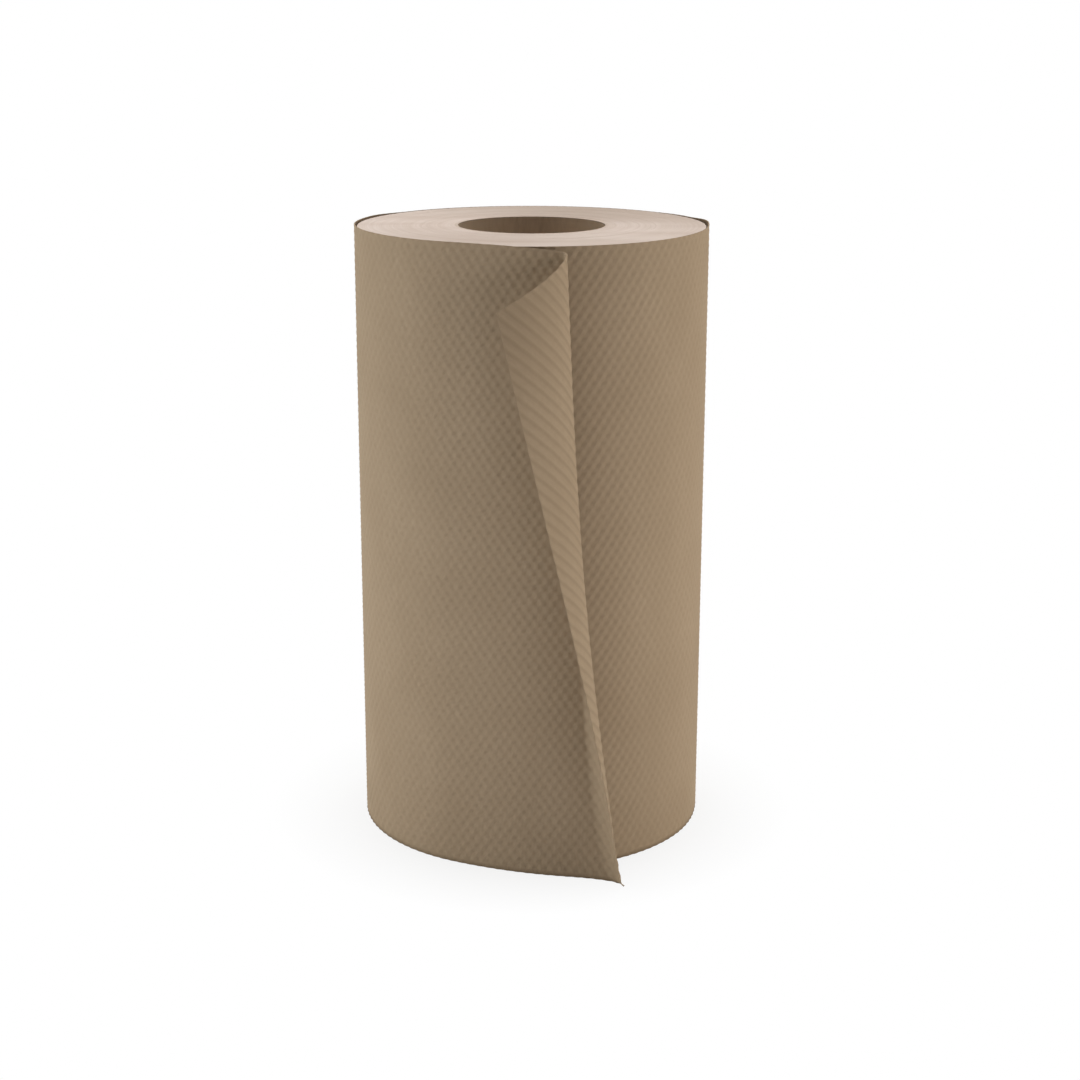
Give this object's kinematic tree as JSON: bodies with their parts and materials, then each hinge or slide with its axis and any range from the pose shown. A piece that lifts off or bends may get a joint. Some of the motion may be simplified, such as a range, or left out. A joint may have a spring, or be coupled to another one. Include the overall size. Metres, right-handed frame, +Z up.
{
  "type": "paper towel roll",
  "caption": "Natural brown hardwound paper towel roll standing on end: open paperboard core, embossed sheet, slack last turn and a loose end that peels off the front and curls outward.",
  "frame": {"origin": "on the roll's axis, in the plane of its lower end face", "axes": "+Z up along the roll's axis; -Y is the front, where the loose end stands off; +X to the right of the front"},
  "size_m": [0.1136, 0.1439, 0.2008],
  "materials": {
    "paper": "matte",
    "paperboard": "matte"
  },
  "bodies": {
    "root": {"paper_roll": "paper", "core_tube": "paperboard"}
  },
  "joints": []
}
